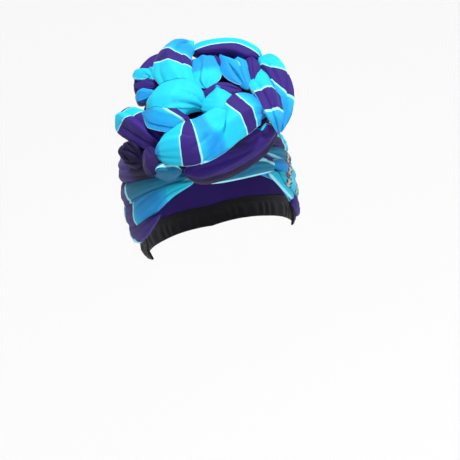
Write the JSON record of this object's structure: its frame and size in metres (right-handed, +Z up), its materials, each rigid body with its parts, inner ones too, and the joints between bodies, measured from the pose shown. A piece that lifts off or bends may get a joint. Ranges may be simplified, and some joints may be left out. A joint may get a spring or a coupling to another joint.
{
  "type": "turban headwrap",
  "caption": "Pre-formed turban headwrap: a cloth cap with wound bands crossing at the brow, a coiled cloth rosette on the front of the crown and a gathered elastic nape band.",
  "frame": {"origin": "centre of the head opening, at its lowest edge over the temples", "axes": "+Z up through the crown, -Y the way the face looks, +X to the wearer's left"},
  "size_m": [0.1772, 0.2424, 0.2132],
  "materials": {
    "azure_cotton": "plain-woven printed cotton, azure ground with purple cross bands",
    "purple_cotton": "plain-woven printed cotton, the deep purple bands of the print",
    "black_elastic": "gathered black knit over elastic"
  },
  "bodies": {
    "root": {"crown_wrap": "azure_cotton", "inner_lip": "azure_cotton", "lobe_left": "azure_cotton", "lobe_top": "azure_cotton", "lobe_right": "azure_cotton", "front_roll": "azure_cotton", "front_hem": "azure_cotton", "pleat_1": "azure_cotton", "pleat_3": "azure_cotton", "pleat_4": "azure_cotton", "right_inner": "azure_cotton", "right_outer": "azure_cotton", "left_pleat_1": "azure_cotton", "left_pleat_3": "azure_cotton", "left_pleat_4": "azure_cotton", "brow_tuck": "azure_cotton", "temple_fold": "azure_cotton", "wrap_upper": "azure_cotton", "wrap_middle": "azure_cotton", "wrap_lower": "azure_cotton", "front_under": "purple_cotton", "left_roll": "purple_cotton", "left_gather": "purple_cotton", "roll_tail": "purple_cotton", "pleat_2": "purple_cotton", "pleat_5": "purple_cotton", "pleat_back": "purple_cotton", "back_roll": "purple_cotton", "left_back": "purple_cotton", "left_pleat_2": "purple_cotton", "temple_tuck": "purple_cotton", "wrap_crest": "purple_cotton", "coil_base": "purple_cotton", "nape_band": "black_elastic"}
  },
  "joints": []
}
